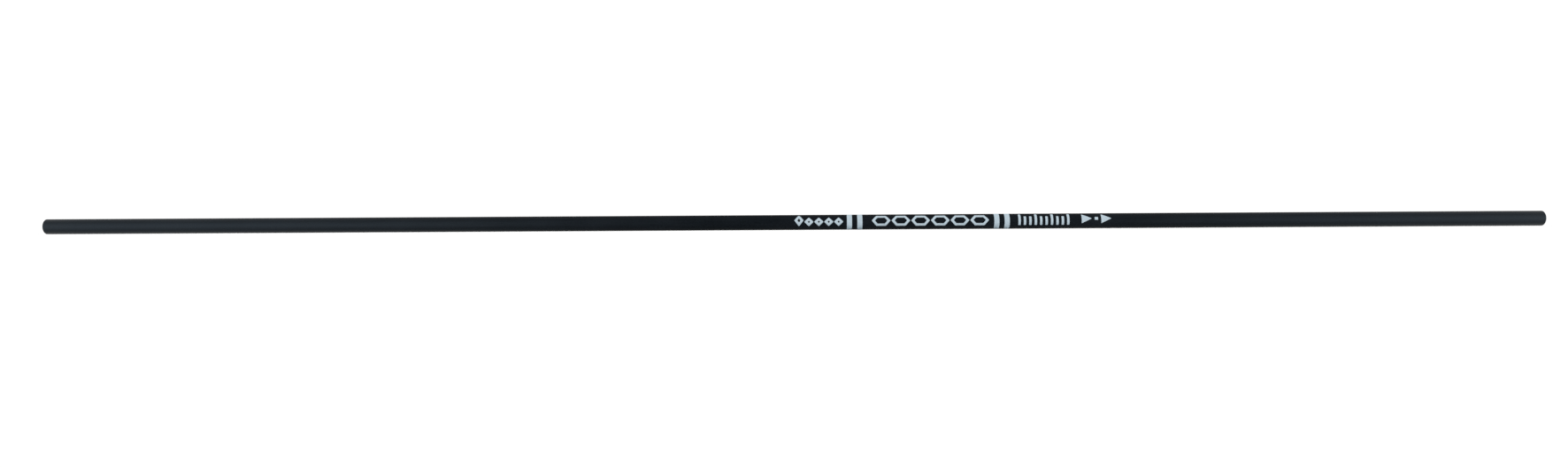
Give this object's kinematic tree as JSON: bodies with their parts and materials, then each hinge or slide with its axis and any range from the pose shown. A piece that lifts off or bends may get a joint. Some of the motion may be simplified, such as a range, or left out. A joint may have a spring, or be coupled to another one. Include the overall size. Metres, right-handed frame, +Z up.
{
  "type": "survey pole shaft",
  "caption": "Straight round carbon fibre survey pole shaft, cut square at both ends, with a flush threaded aluminium insert bonded into each end.",
  "frame": {"origin": "middle of the pole, on its axis", "axes": "+X along the pole from the bottom end to the top end, -Y the side that carries the printed marking, +Z up with the pole lying down"},
  "size_m": [2, 0.02, 0.02],
  "materials": {
    "lacquered_carbon": "satin black lacquer over carbon fibre, with a light blue-grey printed marking",
    "turned_aluminium": "turned, uncoated"
  },
  "bodies": {
    "root": {"pole_tube": "lacquered_carbon", "top_insert": "turned_aluminium", "bottom_insert": "turned_aluminium"}
  },
  "joints": []
}
